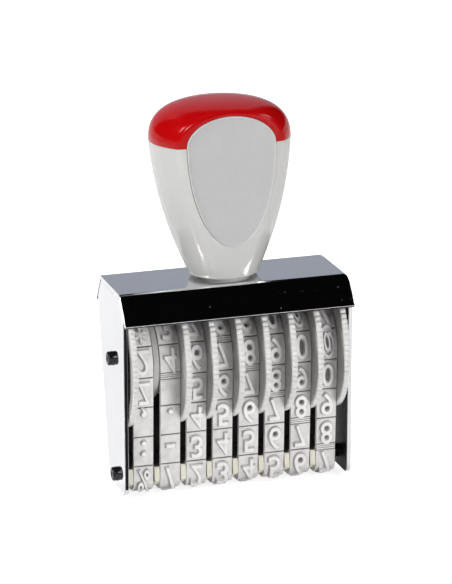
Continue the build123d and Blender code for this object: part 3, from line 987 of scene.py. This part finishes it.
studio = {
    "floorSize": 6.0, "floorColour": 0.80, "floorGlow": 0.74, "floorGlint": 0.155,
    "airLow": 0.10, "airHigh": 0.24, "airCurve": 1.5, "backdrop": 1.0,
    # curtains that only gloss and metal see: dark, but grey low down behind and dim on top
    "curtainFar": 2.6, "curtainLevels": [3, 12, 22, 32, 45, 60, 75, 90], "curtainStep": 15,
    "curtainTones": {"dark": (0.0015, 0.0015, 0.0015), "grey": (0.33, 0.35, 0.40),
                     "dim": (0.15, 0.15, 0.155)},
    "dimLift": 75, "greyTurn": 150, "greyLift": 45,
    # a lamp that lights shows no highlight, and one that shines gives only that
    "aimHeight": 0.06, "lampFar": 1.4,
    "lamps": {
        "frontSoft": {"turn": 25, "lift": 6, "size": (0.60, 0.40), "power": 11.4, "does": "lights"},
        "leftSoft": {"turn": -80, "lift": 34, "size": (0.35, 0.35), "power": 8.4, "does": "lights"},
        "leftLamp": {"turn": -80, "lift": 43, "size": (0.24, 0.34), "power": 7.4, "does": "both"},
        "rightLamp": {"turn": 80, "lift": 45, "size": (0.30, 0.30), "power": 4.6, "does": "shines"},
        "rightStrip": {"turn": 34, "lift": 17, "size": (0.07, 0.5), "power": 1.8, "does": "shines"},
        "leftSpot": {"turn": -25, "lift": 29, "size": (0.26, 0.26), "power": 4.6, "does": "shines"},
        "rearLeft": {"turn": -150, "lift": 45, "size": (0.35, 0.35), "power": 3.8, "does": "lights"},
        "rearRight": {"turn": 150, "lift": 45, "size": (0.35, 0.35), "power": 3.8, "does": "lights"},
    },
}
aimPoint = Vector((0, 0, studio["aimHeight"]))


def fromTurn(turn, lift, far):
    # a point seen from the object's middle: turn 0 is the front, 90 the right; lift is the height angle
    turn, lift = radians(turn), radians(lift)
    return Vector((sin(turn) * cos(lift), -cos(turn) * cos(lift), sin(lift))) * far + aimPoint


def buildFloor():
    half = studio["floorSize"] / 2
    mesh = bpy.data.meshes.new("floor")
    corners = [(-half, -half, 0), (half, -half, 0), (half, half, 0), (-half, half, 0)]
    mesh.from_pydata(corners, [], [(0, 1, 2, 3)])
    material = bpy.data.materials.new("paleFloor")
    tree = emptyTree(material)
    matt = addNode(tree, "BsdfDiffuse", Color=grey(studio["floorColour"]))
    glow, both = addNode(tree, "Emission"), addNode(tree, "AddShader")
    wire(tree, (matt, 0, both, 0), (glow, 0, both, 1),
         (both, 0, addNode(tree, "OutputMaterial"), "Surface"))
    rays = addNode(tree, "LightPath").outputs
    straight = mathNode(tree, "MULTIPLY", rays["Is Camera Ray"], studio["floorGlow"])
    mirrored = mathNode(tree, "MAXIMUM", rays["Is Glossy Ray"], rays["Is Transmission Ray"])
    mirrored = mathNode(tree, "MULTIPLY", mirrored, studio["floorGlint"])
    tree.links.new(mathNode(tree, "ADD", straight, mirrored), glow.inputs["Strength"])
    mesh.materials.append(material)
    putOut("floor", mesh)


def curtainTone(turn, lift):
    if lift > studio["dimLift"]:
        return "dim"
    return "grey" if abs(turn) > studio["greyTurn"] and lift < studio["greyLift"] else "dark"


def buildCurtains():
    levels, tones, step = studio["curtainLevels"], list(studio["curtainTones"]), studio["curtainStep"]
    build = bmesh.new()
    for low, high in zip(levels, levels[1:]):
        for turn in range(-180, 180, step):
            corners = [(turn, low), (turn + step, low), (turn + step, high), (turn, high)]
            if high == levels[-1]:            # they meet in one point overhead
                corners.pop()
            points = [build.verts.new(fromTurn(t, l, studio["curtainFar"])) for t, l in corners]
            tone = curtainTone(turn + step / 2, (low + high) / 2)
            build.faces.new(points).material_index = tones.index(tone)
    mesh = finishedMesh("curtains", build)
    for tone in tones:
        material = bpy.data.materials.new(tone + "Curtain")
        tree = emptyTree(material)
        glow = addNode(tree, "Emission", Color=(*studio["curtainTones"][tone], 1))
        wire(tree, (glow, 0, addNode(tree, "OutputMaterial"), "Surface"))
        mesh.materials.append(material)
    curtains = putOut("curtains", mesh)
    curtains.visible_camera = False
    curtains.visible_diffuse = False
    curtains.visible_transmission = False
    curtains.visible_shadow = False


def buildWorld():
    # white to the eye and in mirrors; the light it gives comes mostly from above
    world = bpy.data.worlds.new("studio")
    bpy.context.scene.world = world
    tree = emptyTree(world)
    air, parted = addNode(tree, "Background"), addNode(tree, "SeparateXYZ")
    choose = addNode(tree, "Mix")
    choose.data_type = "FLOAT"
    choose.inputs["B"].default_value = studio["backdrop"]
    wire(tree, (addNode(tree, "TexCoord"), "Generated", parted, "Vector"),
         (choose, "Result", air, "Strength"), (air, 0, addNode(tree, "OutputWorld"), "Surface"))
    high = mathNode(tree, "MAXIMUM", parted.outputs["Z"], 0.0)
    high = mathNode(tree, "POWER", high, studio["airCurve"])
    high = mathNode(tree, "MULTIPLY", high, studio["airHigh"])
    tree.links.new(mathNode(tree, "ADD", high, studio["airLow"]), choose.inputs["A"])
    rays = addNode(tree, "LightPath").outputs
    eye = mathNode(tree, "MAXIMUM", rays["Is Camera Ray"], rays["Is Glossy Ray"])
    tree.links.new(mathNode(tree, "MAXIMUM", eye, rays["Is Transmission Ray"]), choose.inputs["Factor"])


def buildLamp(name, lamp):
    light = bpy.data.lights.new(name, "AREA")
    light.shape = "RECTANGLE"
    light.size, light.size_y = lamp["size"]
    light.energy = lamp["power"]
    item = putOut(name, light)
    item.visible_glossy = lamp["does"] != "lights"
    item.visible_diffuse = lamp["does"] != "shines"
    item.visible_camera = False
    item.location = fromTurn(lamp["turn"], lamp["lift"], studio["lampFar"])
    item.rotation_euler = (aimPoint - item.location).to_track_quat("-Z", "Y").to_euler()


viewPoint = {
    "azimuth": -14.3, "elevation": 16.4, "roll": 1.8, "distance": 1.075, "target": (0, 0, 0.0268),
    "targetPixel": (227.4, 394.05), "middlePixel": (226.0, 292.0), "focalPixels": 3569.0,
    "tallPixels": 584.0, "sensor": 36.0, "clipEnd": 20.0,
}


def buildCamera():
    turn, lift, roll = (radians(viewPoint[k]) for k in ("azimuth", "elevation", "roll"))
    back = Vector((sin(turn) * cos(lift), -cos(turn) * cos(lift), sin(lift)))
    level = Vector((cos(turn), sin(turn), 0))
    upright = back.cross(level)
    right = cos(roll) * level - sin(roll) * upright
    up = sin(roll) * level + cos(roll) * upright
    focal = viewPoint["focalPixels"]
    sideways = (viewPoint["middlePixel"][0] - viewPoint["targetPixel"][0]) / focal
    upwards = (viewPoint["targetPixel"][1] - viewPoint["middlePixel"][1]) / focal
    aim = (-back + right * sideways + up * upwards).normalized()
    cameraRight = aim.cross(up).normalized()
    cameraUp = cameraRight.cross(aim)
    lens = bpy.data.cameras.new("camera")
    lens.sensor_width = viewPoint["sensor"]
    lens.lens = focal * lens.sensor_width / viewPoint["tallPixels"]
    lens.clip_end = viewPoint["clipEnd"]
    camera = putOut("camera", lens)
    place = Vector(viewPoint["target"]) + back * viewPoint["distance"]
    turned = Matrix((cameraRight, cameraUp, -aim)).transposed().to_4x4()
    camera.matrix_world = Matrix.Translation(place) @ turned
    bpy.context.scene.camera = camera


buildFloor()
buildCurtains()
for name, lamp in studio["lamps"].items():
    buildLamp(name, lamp)
buildWorld()
buildCamera()
bpy.context.scene.view_settings.view_transform = "Standard"
print("stage: floor, curtains, lamps and camera placed")
